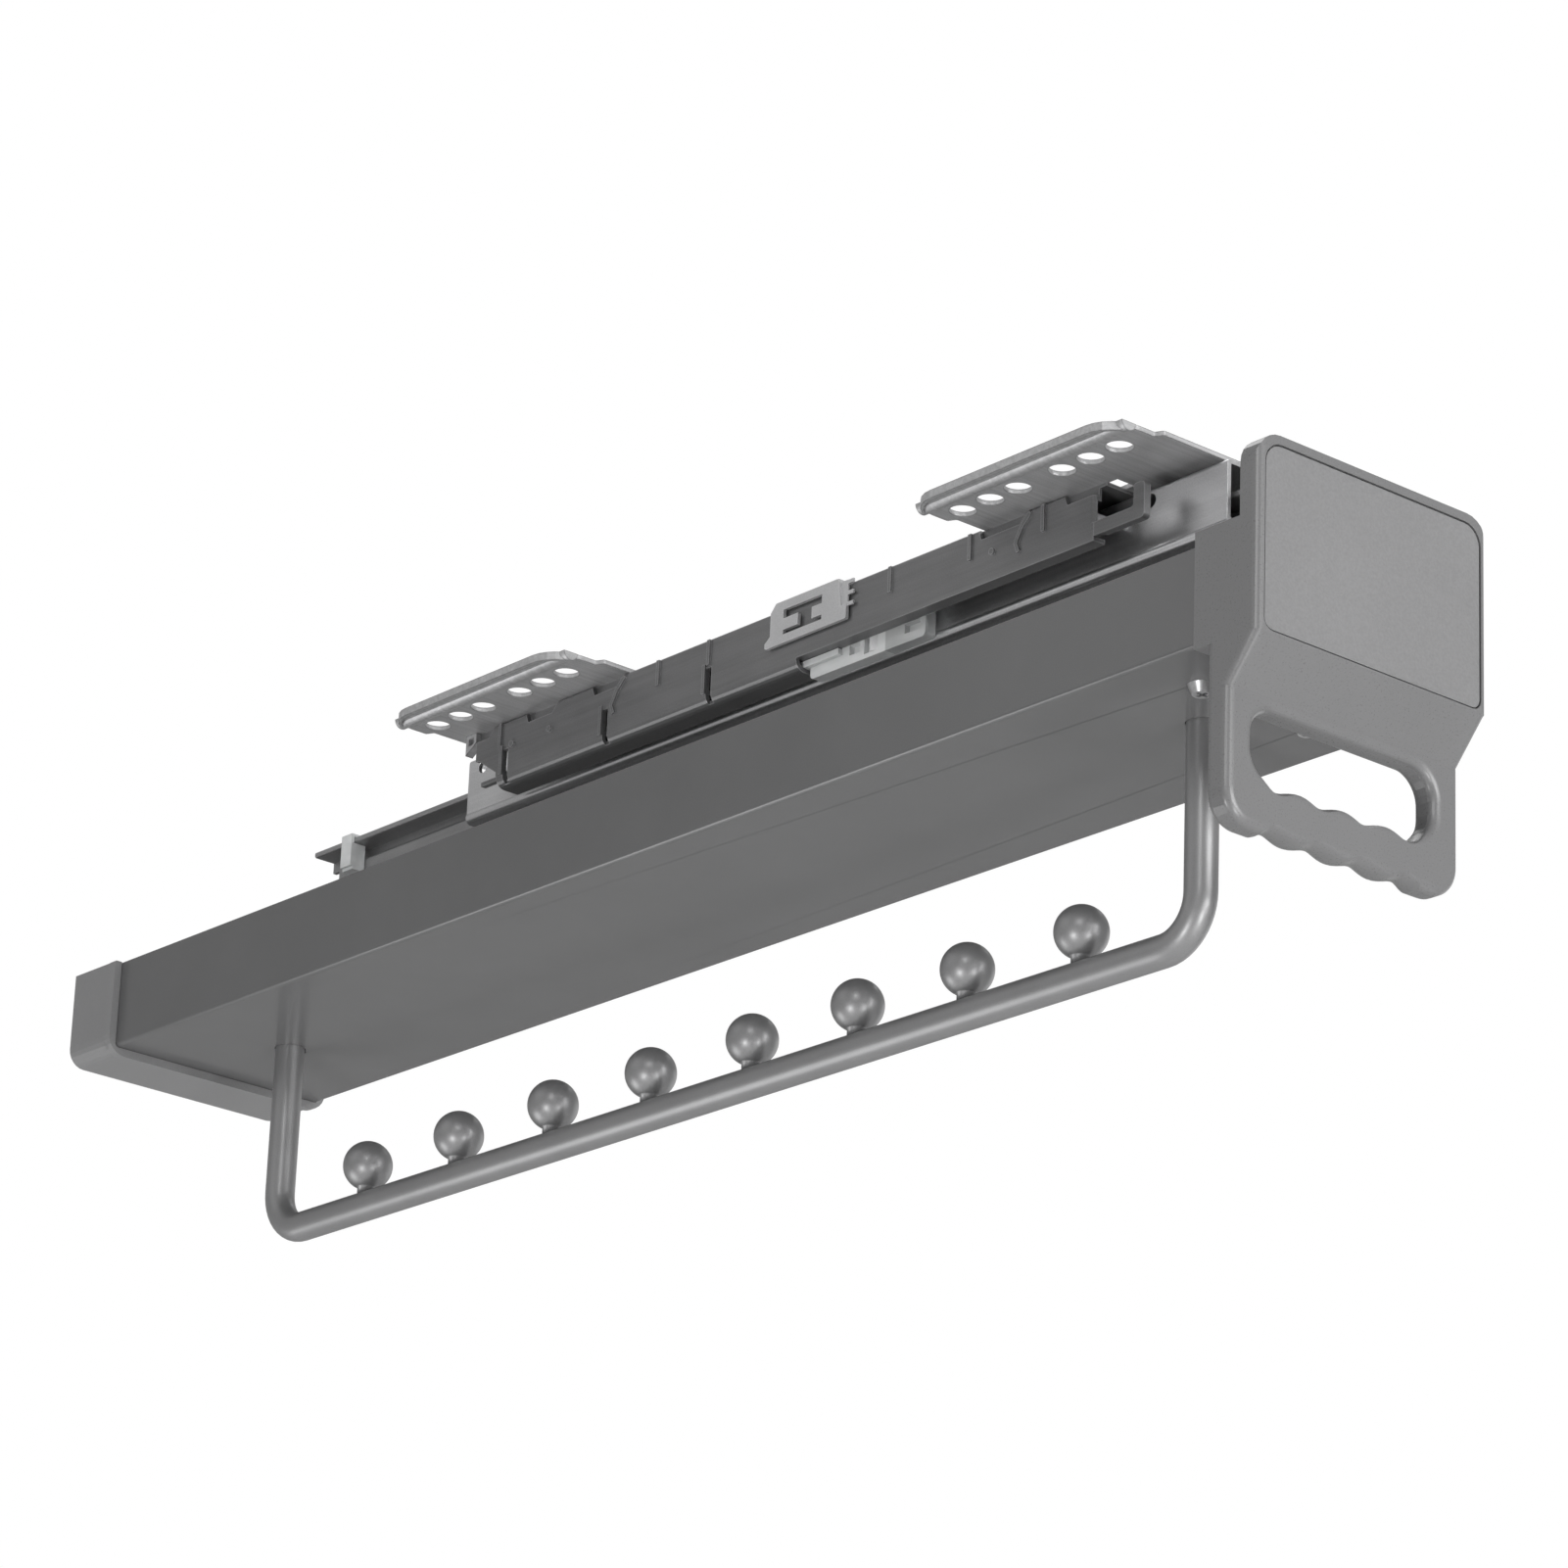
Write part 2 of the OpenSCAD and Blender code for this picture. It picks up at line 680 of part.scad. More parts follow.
// Pressed clip over the left edge of the fixed rail, with a window and two tongues
module rail_clip() {
    y0 = fixed_front + clip_set;
    y1 = y0 + clip_len;
    z0 = fixed_top - clip_drop;
    z1 = fixed_top + clip_rise;
    h = z1 - z0;
    x1 = -fixed_hw - rib_h;
    x0 = x1 - clip_t;
    color([0.66, 0.66, 0.66]) place() {
        difference() {
            along_x(x0, x1) rounded([
                [y0, z0, clip_t / 2], [y1 + clip_t, z0, clip_t / 2], [y1 + clip_t, z0 + clip_t * 3 / 2, 0],
                [y1 - clip_t, z0 + clip_t * 3, 0], [y1 - clip_t, z1 - 2 * clip_rise, 0],
                [y1 - 3 * clip_t, z1, clip_t / 2], [y0 + 3 * clip_t, z1, clip_t],
                [y0 + 2 * clip_t, z0 + h / 3, 0], [y0, z0 + h / 3, 0]
            ]);
            along_x(x0 - over, x1 + over) difference() {
                clip_share(window_shares, y0, z0, h);
                clip_share(front_tongue_shares, y0 - over, z0, h);
                clip_share(rear_tongue_shares, y0 + over, z0, h);
            }
        }
        // roof of the clip, on top of the rail
        box(x0, y0 + 3 * clip_t, fixed_top, -fixed_hw + clip_roof, y1 - 3 * clip_t, fixed_top + clip_t);
        // toothed strip beside the wall
        box(x1 - clip_t / 2, y0, z0 + h / 4, x1, y0 + 4 * clip_t, z1 - clip_t);
        for (u = tooth_shares)
            box(x1 - clip_t / 2, y0 - 2 * clip_t, z0 + u * h, x1, y0 + clip_t, z0 + u * h + clip_t);
    }
}

// Rectangle given as shares of the clip's length and height
module clip_share(u, y0, z0, h) {
    rect(y0 + u[0] * clip_len, z0 + u[1] * h, y0 + u[2] * clip_len, z0 + u[3] * h);
}

catch_len = 14.6;
catch_t = 2.1;
catch_h = 9.4;
catch_bar = 3.6;

// Hooked catch ahead of the fixed rail, with a thin root on the end of the wall
module front_catches() {
    z0 = ledge_top;
    y0 = fixed_front - catch_len;
    color([0.45, 0.45, 0.46]) place() both_sides() {
        along_x(-fixed_hw, -fixed_hw + catch_t) rounded([
            [fixed_front, z0, 0], [fixed_front, z0 + catch_bar, 0], [y0 + catch_bar, z0 + catch_bar, rib_w],
            [y0 + catch_bar, z0 + catch_h, rib_w / 2], [y0, z0 + catch_h, rib_w], [y0, z0, rib_w]
        ]);
        box(-fixed_hw, fixed_front - rib_w, z0, -fixed_inner_hw, wall_front, z0 + catch_bar);
    }
}

// Middle rail

// Section of the middle rail: roof, walls, rolled lower edges and inward lips
module mid_section() {
    r = mid_roll_r;
    both_sides() {
        difference() {
            rounded([
                [-mid_wall_hw, mid_z + r, 0], [-mid_wall_hw, mid_top, sheet],
                [over, mid_top, 0], [over, mid_top - sheet, 0],
                [-mid_inner_hw, mid_top - sheet, sheet / 4], [-mid_inner_hw, mid_z + r, 0]
            ]);
            translate([-mid_hw + r, mid_z + r]) circle(r);
        }
        translate([-mid_hw + r, mid_z + r]) difference() {
            circle(r);
            circle(r - sheet);
            rect(0, -r + sheet, r + over, r + over);
        }
        rect(-mid_hw + r, mid_z, -mid_hw + mid_lip, lip_top);
    }
}

pilot_d = 3.6;
pilot_set = 26;
pilot_back = 6;
pilot_share = 0.82;

module middle_rail() {
    color([0.58, 0.58, 0.59]) place() difference() {
        union() {
            along_y(mid_front, mid_rear) mid_section();
            both_sides() box(-flange_hw, mid_front + flange_set, flange_under,
                -mid_inner_hw - sheet / 2, mid_rear - flange_back, flange_under + sheet);
        }
        // pilot holes through both walls near the ends
        for (y = [mid_front + pilot_set, mid_rear - pilot_back])
            translate([-mid_hw - over, y, mid_z + mid_h * pilot_share]) rotate([0, 90, 0])
                cylinder(h = mid_w + 2 * over, d = pilot_d);
    }
}

// Outer cages and rollers

outer_z = ledge_top + outer_roller_d / 2 + roll_gap;
outer_web_x = -ledge_hw + side_gap;
outer_roller_shares = [0.114, 0.377, 0.85];
outer_rollers = [for (u = outer_roller_shares) outer_cage_front + u * outer_cage_len];
guide_set = 20.2;
guide_y = outer_cage_front + guide_set;
guide_x = -mid_hw - side_gap - guide_d / 2;
guide_h = 6;
guide_pin_d = 1.8;
hang_z = mid_z + roll_gap * 4;
// Shelf of the cage under the ledge, as shares of the hanging part
shelf_shares = [0.72, 1.3];
// Clear block at the front of the cage, in roller diameters, and its window as shares
block_share = 2.4;
block_window_shares = [0.2, 0.8];
guide_window_share = 0.62;

// Left cage: a web beside the middle rail with pins for three rollers, and a
// clear block that hangs below the ledge
module outer_cage() {
    y0 = outer_cage_front;
    y1 = outer_cage_front + outer_cage_len;
    x0 = outer_web_x;
    x1 = x0 + outer_web_t;
    z1 = flange_under - side_gap;
    zm = ledge_z - side_gap / 2;
    block = guide_d * block_share;
    difference() {
        union() {
            // web, with its hanging front part cut off short of the shroud
            along_x(x0, x1) rounded([
                [y0, hang_z, sheet], [y0 + hang_len, hang_z, sheet],
                [y0 + hang_len, shroud_z + sheet + side_gap, 0],
                [y1, shroud_z + sheet + side_gap, 0], [y1, z1, sheet], [y0, z1, sheet]
            ]);
            // shelf under the ledge
            box(-fixed_inner_hw + shroud_r / 2, y0 + hang_len * shelf_shares[0],
                shroud_z + sheet + side_gap / 2, x1, y0 + hang_len * shelf_shares[1], zm);
            for (y = outer_rollers)
                translate([-fixed_inner_hw + side_gap, y, outer_z]) rotate([0, 90, 0])
                    cylinder(h = x1 + fixed_inner_hw - side_gap, d = pin_d);
        }
        // window of the guide roller
        box(x0 - over, guide_y - guide_d * guide_window_share, hang_z + sheet,
            x1 + over, guide_y + guide_d * guide_window_share, hang_z + sheet + guide_h + 2 * side_gap);
        // window in the front block and the notch behind the guide roller
        box(x0 - over, y0 + block * block_window_shares[0], hang_z + 2 * sheet,
            x0 + outer_web_t / 2, y0 + block * block_window_shares[1], ledge_z);
        box(x0 - over, guide_y + guide_d, hang_z + 2 * sheet,
            x0 + outer_web_t / 2, guide_y + 2 * guide_d, ledge_z);
    }
    // pin of the guide roller
    translate([guide_x, guide_y, hang_z + sheet / 2])
        cylinder(h = guide_h + sheet + 3 * side_gap, d = guide_pin_d);
}

// Left roller between the ledge and the carrying flange
module outer_roller(i) {
    w = ledge_w - sheet - side_gap;
    translate([-fixed_inner_hw + side_gap, outer_rollers[i], outer_z]) rotate([0, 90, 0]) difference() {
        cylinder(h = w, d = outer_roller_d);
        translate([0, 0, -over]) cylinder(h = w + 2 * over, d = pin_d + 2 * pin_gap);
    }
}

// Left guide roller, upright, beside the rolled edge of the middle rail
module guide_roller() {
    translate([guide_x, guide_y, hang_z + sheet + side_gap]) difference() {
        cylinder(h = guide_h, d = guide_d);
        translate([0, 0, -over]) cylinder(h = guide_h + 2 * over, d = guide_pin_d + 2 * pin_gap);
    }
}

module outer_cage_left() { color([0.82, 0.84, 0.84, 0.6]) place() outer_cage(); }
module outer_cage_right() { color([0.82, 0.84, 0.84, 0.6]) place() mirror([1, 0, 0]) outer_cage(); }
module outer_roller_left_front() { color([0.9, 0.9, 0.88]) place() outer_roller(0); }
module outer_roller_left_mid() { color([0.9, 0.9, 0.88]) place() outer_roller(1); }
module outer_roller_left_rear() { color([0.9, 0.9, 0.88]) place() outer_roller(2); }
module outer_roller_right_front() { color([0.9, 0.9, 0.88]) place() mirror([1, 0, 0]) outer_roller(0); }
module outer_roller_right_mid() { color([0.9, 0.9, 0.88]) place() mirror([1, 0, 0]) outer_roller(1); }
module outer_roller_right_rear() { color([0.9, 0.9, 0.88]) place() mirror([1, 0, 0]) outer_roller(2); }
module guide_roller_left() { color([0.9, 0.9, 0.88]) place() guide_roller(); }
module guide_roller_right() { color([0.9, 0.9, 0.88]) place() mirror([1, 0, 0]) guide_roller(); }

// Inner cage and rollers

inner_z = lip_top + inner_roller_d / 2 + roll_gap;
inner_end = inner_cage_front + inner_cage_len;
saddle_len = 8;
saddle_drop = 2.8;
end_len = 4.6;
inner_roller_shares = [0.371, 0.739];
inner_rollers = concat(
    [inner_cage_front + saddle_len / 2],
    [for (u = inner_roller_shares) inner_cage_front + u * inner_cage_len]
);
cheek_x = head_hw + side_gap / 2;

// One saddle of the inner cage, over the head of the drawer rail
module cage_saddle(y, len) {
    z1 = head_top + roll_gap * 2;
    w = len / 2;
    box(-cheek_x - cheek_t, y - w, z1, cheek_x + cheek_t, y + w, z1 + inner_strip_t);
    both_sides() box(-cheek_x - cheek_t, y - w, inner_z - saddle_drop, -cheek_x, y + w, z1 + inner_strip_t);
}

module inner_cage() {
    color([0.82, 0.84, 0.84, 0.6]) place() {
        z1 = head_top + roll_gap * 2;
        box(-rail_neck_w / 2, inner_cage_front, z1, rail_neck_w / 2, inner_end, z1 + inner_strip_t);
        for (y = inner_rollers) {
            cage_saddle(y, saddle_len);
            both_sides() translate([-cheek_x, y, inner_z]) rotate([0, 90, 0])
                cylinder(h = cheek_x - body_hw - 2 * side_gap, d = pin_d);
        }
        cage_saddle(inner_end - end_len / 2, end_len);
        // closed end block, seen behind the middle rail
        both_sides() box(-cheek_x - roll_gap, inner_end - end_len, lip_top + side_gap,
            -body_hw - side_gap, inner_end, head_under - side_gap / 2);
    }
}

// Pair of rollers between the lips of the middle rail and the head of the drawer rail
module inner_roller_pair(i) {
    w = cheek_x - body_hw - 2 * side_gap;
    color([0.9, 0.9, 0.88]) place() both_sides()
        translate([-cheek_x + side_gap / 3, inner_rollers[i], inner_z]) rotate([0, 90, 0]) difference() {
            cylinder(h = w, d = inner_roller_d);
            translate([0, 0, -over]) cylinder(h = w + 2 * over, d = pin_d + 2 * pin_gap);
        }
}

module inner_rollers_front() { inner_roller_pair(0); }
module inner_rollers_mid() { inner_roller_pair(1); }
module inner_rollers_rear() { inner_roller_pair(2); }

// Drawer rail and its seats

saddle_front_y = 72;
saddle_rear_y = 343;
saddle_block = 34;
saddle_hw = 16.4;
saddle_t = 1.6;
foot_hw = track_hw + track_lip - side_gap;
foot_t = track_slot - side_gap;
screw_d = 3.2;
screw_head_d = 5.4;
screw_head_h = 2;
screw_x = (rail_foot_w / 2 + body_hw) / 2;
screw_dy = 10;

// Section of the drawer rail: feet, hollow body, neck and folded head
module rail_section() {
    nw = rail_neck_w / 2;
    difference() {
        union() {
            rect(-rail_foot_w / 2, rail_foot_z, rail_foot_w / 2, rail_foot_z + sheet);
            rounded([
                [-body_hw, rail_foot_z, 0], [body_hw, rail_foot_z, 0], [body_hw, body_top, sheet],
                [nw, body_top, 0], [nw, head_under, 0],
                [head_hw, head_under, rail_head_t / 3], [head_hw, head_top, rail_head_t / 3],
                [-head_hw, head_top, rail_head_t / 3], [-head_hw, head_under, rail_head_t / 3],
                [-nw, head_under, 0], [-nw, body_top, 0], [-body_hw, body_top, sheet]
            ]);
        }
        rounded([
            [-body_hw + sheet, rail_foot_z - over, 0], [body_hw - sheet, rail_foot_z - over, 0],
            [body_hw - sheet, body_top - sheet, 0], [nw - sheet, body_top - sheet, 0],
            [nw - sheet, head_under, 0], [-nw + sheet, head_under, 0],
            [-nw + sheet, body_top - sheet, 0], [-body_hw + sheet, body_top - sheet, 0]
        ]);
    }
}

// Screws through the feet of the rail, or their holes when grown
module rail_screw_set(grow) {
    for (y = [saddle_front_y, saddle_rear_y], dy = [-screw_dy, screw_dy], x = [-screw_x, screw_x])
        translate([x, y + dy, 0]) {
            translate([0, 0, rail_foot_z - 2 * saddle_t - grow])
                cylinder(h = sheet + 2 * saddle_t + 2 * grow, d = screw_d + 2 * grow);
            translate([0, 0, rail_foot_z + sheet]) cylinder(h = screw_head_h, d = screw_head_d);
        }
}

module drawer_rail() {
    color([0.5, 0.5, 0.51]) place() difference() {
        along_y(rail_front, rail_rear) rail_section();
        rail_screw_set(seat_fit);
        box(-rail_foot_w, rail_rear - head_over, rail_foot_z - over, rail_foot_w, rail_rear + over, body_top);
    }
}

// Folded seat that carries the drawer rail in the beam, with feet in the two tracks
module saddle(y) {
    color([0.6, 0.6, 0.61]) place() difference() {
        along_y(y - saddle_block / 2, y + saddle_block / 2) difference() {
            rounded([
                [-foot_hw, beam_floor, 0], [foot_hw, beam_floor, 0], [foot_hw, beam_floor + foot_t, 0],
                [saddle_hw, beam_floor + foot_t, 0], [saddle_hw, rail_foot_z, saddle_t],
                [-saddle_hw, rail_foot_z, saddle_t],
                [-saddle_hw, beam_floor + foot_t, 0], [-foot_hw, beam_floor + foot_t, 0]
            ]);
            rect(-saddle_hw + saddle_t, beam_floor - over, saddle_hw - saddle_t, rail_foot_z - saddle_t);
        }
        rail_screw_set(seat_fit);
    }
}

module front_saddle() { saddle(saddle_front_y); }
module rear_saddle() { saddle(saddle_rear_y); }

module rail_screws() {
    color([0.7, 0.7, 0.7]) place() rail_screw_set(0);
}

// Tray beam and rear cap

socket_hw = 9;
socket_h = 12;
notch_d = 2.2;
panel_screw_x = 17.5;
panel_screw_y = 18;
panel_screw_d = 3.6;
panel_screw_head_d = 7;
panel_screw_head_h = 2.4;
screw_tip_share = 0.7;
cross_share = 0.22;
tongue_h = 6;
screw_grip_share = 0.7;

// Section of the beam: trough with lipped walls and two tracks on its floor
module beam_section() {
    hw = beam_w / 2;
    r = beam_edge_r;
    difference() {
        beam_outline(0, r);
        rounded([
            [-hw + beam_wall, beam_floor, max(r - beam_wall, 0)],
            [hw - beam_wall, beam_floor, max(r - beam_wall, 0)],
            [hw - beam_wall, beam_h - beam_lip_t, 0], [hw - beam_lip_w, beam_h - beam_lip_t, 0],
            [hw - beam_lip_w, beam_h + over, 0], [-hw + beam_lip_w, beam_h + over, 0],
            [-hw + beam_lip_w, beam_h - beam_lip_t, 0], [-hw + beam_wall, beam_h - beam_lip_t, 0]
        ]);
    }
    both_sides() {
        x0 = -track_hw - track_lip - track_t;
        z1 = beam_floor + track_slot;
        rect(x0, beam_floor / 2, -track_hw - track_lip, z1 + track_t);
        rect(x0, z1, -track_hw, z1 + track_t);
    }
}

// Screws that hold the front panel's tongue, or their holes when grown
module panel_screw_set(grow) {
    for (x = [-panel_screw_x, panel_screw_x])
        translate([x, panel_screw_y, 0]) {
            translate([0, 0, -grow])
                cylinder(h = beam_floor + tongue_h * screw_grip_share + grow, d = panel_screw_d + 2 * grow);
            difference() {
                translate([0, 0, -panel_screw_head_h])
                    cylinder(h = panel_screw_head_h,
                        d1 = panel_screw_head_d * screw_tip_share, d2 = panel_screw_head_d);
                for (a = [0, 90])
                    rotate([0, 0, a]) box(
                        -panel_screw_head_d * cross_share, -panel_screw_d / 8, -panel_screw_head_h - over,
                        panel_screw_head_d * cross_share, panel_screw_d / 8, -panel_screw_head_h / 2
                    );
            }
        }
}

module tray_beam() {
    color([0.38, 0.38, 0.39]) place() difference() {
        along_y(-beam_in_collar, beam_rear) beam_section();
        for (y = [rod_front, rod_rear])
            translate([0, y, -over]) cylinder(h = beam_floor + 2 * over, d = rod_d + 4 * beam_fit);
        // small relief beside each leg
        translate([0, rod_front + rod_d / 2, -over]) cylinder(h = beam_floor + 2 * over, d = notch_d);
        translate([rod_d / 2, rod_rear, -over]) cylinder(h = beam_floor + 2 * over, d = notch_d);
        panel_screw_set(seat_fit);
    }
}

// End cap that wraps the walls and floor of the beam, with a rounded rim
module rear_cap() {
    hw = beam_w / 2 + beam_fit + cap_wall;
    z0 = -beam_fit - cap_wall;
    z1 = beam_h + beam_fit * 2;
    y1 = beam_shown + cap_depth;
    rim = cap_rim_w / 4;
    color([0.5, 0.5, 0.51]) place() {
        difference() {
            union() {
                along_y(beam_shown + cap_rim_w, y1)
                    rounded([[-hw, z0, cap_r], [hw, z0, cap_r], [hw, z1, 0], [-hw, z1, 0]]);
                along_y(beam_shown, beam_shown + cap_rim_w + rim / 2) rounded([
                    [-hw - rim, z0 - rim, cap_r + rim], [hw + rim, z0 - rim, cap_r + rim],
                    [hw + rim, z1, rim], [-hw - rim, z1, rim]
                ]);
            }
            along_y(beam_shown - over, beam_rear) {
                beam_outline(beam_fit, beam_edge_r);
                rect(-beam_w / 2 - beam_fit, beam_h / 2, beam_w / 2 + beam_fit, beam_h + over);
            }
        }
        // tongue inside the trough, between the tracks
        along_y(beam_shown - cap_depth, beam_rear + over)
            difference() {
                rect(-track_hw + side_gap, beam_floor, track_hw - side_gap, beam_floor + tongue_h);
                rect(-track_hw + side_gap + cap_wall, beam_floor + cap_wall,
                    track_hw - side_gap - cap_wall, beam_floor + tongue_h + over);
            }
    }
}

// Front panel

flat_z = -panel_flat_down;
grip_front = -grip_back - grip_t;
grip_top_z = flat_z - slope_h;
bar_z = -grip_down + bar_h;
opening_top = grip_top_z - opening_web;
collar_top = beam_h + beam_fit + collar_wall;
collar_low = -beam_fit - collar_wall;
bar_mid_y = -grip_back - grip_t / 2;
bar_mid_z = -grip_down + bar_h / 2;
slope_angle = atan2(panel_face + grip_front, slope_h);

// Side outline of the panel with its collar, slope and grip, in Y and Z
module panel_side() {
    f = -panel_face;
    b = f + panel_t;
    r = panel_edge_r;
    rounded([
        [f, panel_up, 0], [f, flat_z, r], [grip_front, grip_top_z, 0], [grip_front, -grip_down, grip_edge_r],
        [-grip_back, -grip_down, grip_edge_r], [-grip_back, collar_low, 0], [0, collar_low, 0],
        [0, collar_top, 0], [b, collar_top, 0], [b, panel_up, 0]
    ]);
}

// Front outline of the panel, in X and Z
module panel_front() {
    hw = panel_w / 2;
    rounded([
        [-hw, panel_up, panel_r], [hw, panel_up, panel_r], [hw, -grip_down, grip_r], [-hw, -grip_down, grip_r]
    ]);
}

// Plan outline of the panel between two faces, with its front and rear edges rounded
module panel_plan(y0, r0, y1, r1) {
    hw = panel_w / 2;
    rounded([[-hw, y0, r0], [hw, y0, r0], [hw, y1, r1], [-hw, y1, r1]]);
}

// Panel, slope and grip as one solid, before the openings are cut
module panel_solid() {
    hw = panel_w / 2;
    f = -panel_face;
    deep = 2 * panel_up;
    intersection() {
        along_x(-hw, hw) panel_side();
        along_y(f - over, over) panel_front();
        union() {
            along_z(collar_low, panel_up + over) panel_plan(f, panel_edge_r, over, 0);
            intersection() {
                along_z(grip_top_z, collar_low) panel_plan(f, panel_edge_r, -grip_back, grip_edge_r);
                translate([0, f, flat_z]) rotate([slope_angle, 0, 0]) along_z(-deep, deep)
                    panel_plan(0, panel_edge_r, deep, 0);
            }
            along_z(-grip_down - over, grip_top_z)
                panel_plan(grip_front, grip_edge_r, -grip_back, grip_edge_r);
        }
    }
}

// Finger opening of the grip, in X and Z
module grip_opening() {
    hw = opening_w / 2;
    r = opening_r;
    rounded([[-hw, opening_top, r], [hw, opening_top, r], [hw, bar_z, r], [-hw, bar_z, r]]);
}

// Depth of the finger grooves at a place along the bar
function groove(x) =
    abs(x) < finger_count * finger_pitch / 2
    ? finger_depth / 2 * (1 - cos(2 * half_turn * x / finger_pitch + half_turn * finger_count))
    : 0;

// Rise of the opening's lower corner above the bar at a place along it
function corner_rise(x) =
    let (d = abs(x) - opening_w / 2 + opening_r)
    d <= 0 ? 0 : opening_r - sqrt(opening_r * opening_r - d * d);

// Ring round the bar that rounds it and presses the finger grooves into it
module bar_waves() {
    e = grip_edge_r;
    reach = opening_w / 2 - opening_r + sqrt(2 * opening_r * e - e * e);
    steps = 2 * corner_steps * finger_count;
    translate([0, bar_mid_y, bar_mid_z]) rotate([0, 90, 0]) rotate_extrude()
        polygon(concat(
            [[bar_h / 2 + e + over, -reach]],
            [for (i = [0 : steps]) let (x = reach * (2 * i / steps - 1))
                [bar_h / 2 - groove(x) + corner_rise(x), x]],
            [[bar_h / 2 + e + over, reach]]
        ));
}

// Cut that rounds the edge of a rectangle with round corners, round a solid or an opening
module edge_loop(x0, y0, x1, y1, corner_r, r) {
    c = [
        [x1 - corner_r, y1 - corner_r], [x0 + corner_r, y1 - corner_r],
        [x0 + corner_r, y0 + corner_r], [x1 - corner_r, y0 + corner_r]
    ];
    for (k = [0 : 3]) {
        run = norm(c[k] - c[(k + 3) % 4]);
        translate(c[(k + 3) % 4]) rotate(90 * k) {
            translate([corner_r, run, 0]) rotate([90, 0, 0]) linear_extrude(run) mirror([1, 0]) edge_cut(r);
            translate([0, run, 0]) rotate_extrude(angle = 90)
                translate([corner_r, 0]) mirror([1, 0]) edge_cut(r);
        }
    }
}

// Rounding of one face of the grip: round the opening and at the two lower corners
module grip_face_edges() {
    hw = panel_w / 2;
    translate([0, grip_front, 0]) rotate([90, 0, 0]) {
        edge_loop(-opening_w / 2, bar_z, opening_w / 2, opening_top, opening_r, grip_edge_r);
        both_sides() translate([hw - grip_r, grip_r - grip_down, 0]) rotate([0, 0, -90])
            rotate_extrude(angle = 90) translate([grip_r, 0]) edge_cut(grip_edge_r);
    }
}

module front_panel() {
    hw = panel_w / 2;
    f = -panel_face;
    b = f + panel_t;
    rib_x = hw / 3;
    color([0.53, 0.53, 0.54]) place() {
        difference() {
            panel_solid();
            // seat of the inset plate
            along_y(f - over, f + plate_t) inset_outline(plate_gap);
            // socket of the beam
            along_y(-beam_in_collar, over) beam_outline(beam_fit, beam_edge_r);
            // moulded hollows behind the upper part, with ribs between them
            for (x = [-2 * rib_x, 0, 2 * rib_x])
                along_y(f + panel_skin + plate_t, b + over) rounded([
                    for (c = [[-1, 0], [1, 0], [1, 1], [-1, 1]])
                        [x + c[0] * (rib_x - panel_skin / 2 - (x == 0 ? 0 : panel_skin / 2)),
                         c[1] > 0 ? panel_up - panel_skin - sheet : collar_top + panel_skin / 2, panel_skin]
                ]);
            along_y(f + panel_skin + plate_t, -beam_in_collar + over)
                rect(-beam_w / 2 + beam_lip_w, beam_floor + tongue_h + collar_wall,
                    beam_w / 2 - beam_lip_w, beam_h - collar_wall);
            along_y(f - over, over) grip_opening();
            bar_waves();
            grip_face_edges();
            translate([0, 2 * bar_mid_y, 0]) mirror([0, 1, 0]) grip_face_edges();
        }
        // tongue inside the trough of the beam
        difference() {
            along_y(-beam_in_collar - over, rod_front - socket_hw - side_gap)
                rect(-track_hw + side_gap, beam_floor, track_hw - side_gap, beam_floor + tongue_h);
            panel_screw_set(seat_fit);
        }
    }
}

// Outline of the inset plate, grown by its gap
module inset_outline(grow) {
    hw = panel_w / 2 - plate_margin + grow;
    z0 = flat_z + plate_gap * 2 - grow;
    z1 = panel_up - plate_margin + grow;
    rounded([
        [-hw, z1, plate_r + grow], [hw, z1, plate_r + grow],
        [hw, z0, plate_r / 2 + grow], [-hw, z0, plate_r / 2 + grow]
    ]);
}

module front_plate() {
    color([0.6, 0.6, 0.61]) place()
        along_y(-panel_face + plate_t / 6, -panel_face + plate_t) inset_outline(0);
}

module panel_screws() {
    color([0.85, 0.85, 0.85]) place() panel_screw_set(0);
}

// Hanging rod and balls

rod_in = 9;
stud_d = 4.2;
stud_head_d = 8;
stud_head_h = 3;

// Front half of the bent rod, up to its middle
module rod_half() {
    r = rod_bend_r;
    mid_y = rod_span / 2;
    translate([0, 0, -rod_drop + r]) cylinder(h = rod_drop - r + beam_floor + rod_in, d = rod_d);
    translate([0, r, -rod_drop + r]) rotate([0, 90, 0]) rotate([0, 0, -90])
        rotate_extrude(angle = 90) translate([r, 0]) circle(d = rod_d);
    translate([0, r, -rod_drop]) rotate([-90, 0, 0]) cylinder(h = mid_y - r, d = rod_d);
}

module hanging_rod() {
    color([0.52, 0.52, 0.53]) place() difference() {
        translate([0, rod_front, 0]) {
            rod_half();
            translate([0, rod_span, 0]) mirror([0, 1, 0]) rod_half();
        }
        for (y = [rod_front, rod_rear])
            translate([0, y, beam_floor]) cylinder(h = rod_in + over, d = stud_d);
    }
}

// Moulded socket that holds one leg of the rod in the trough
module rod_socket(y) {
    corner = socket_hw / 8;
    color([0.35, 0.35, 0.36]) place() difference() {
        along_z(beam_floor, beam_floor + socket_h)
            rounded([
                [-socket_hw, y - socket_hw + side_gap, corner], [socket_hw, y - socket_hw + side_gap, corner],
                [socket_hw, y + socket_hw, corner], [-socket_hw, y + socket_hw, corner]
            ]);
        translate([0, y, beam_floor - over]) cylinder(h = rod_in + over, d = rod_d + 2 * pin_gap);
        translate([0, y, beam_floor]) cylinder(h = socket_h + over, d = stud_d + 2 * pin_gap);
    }
}

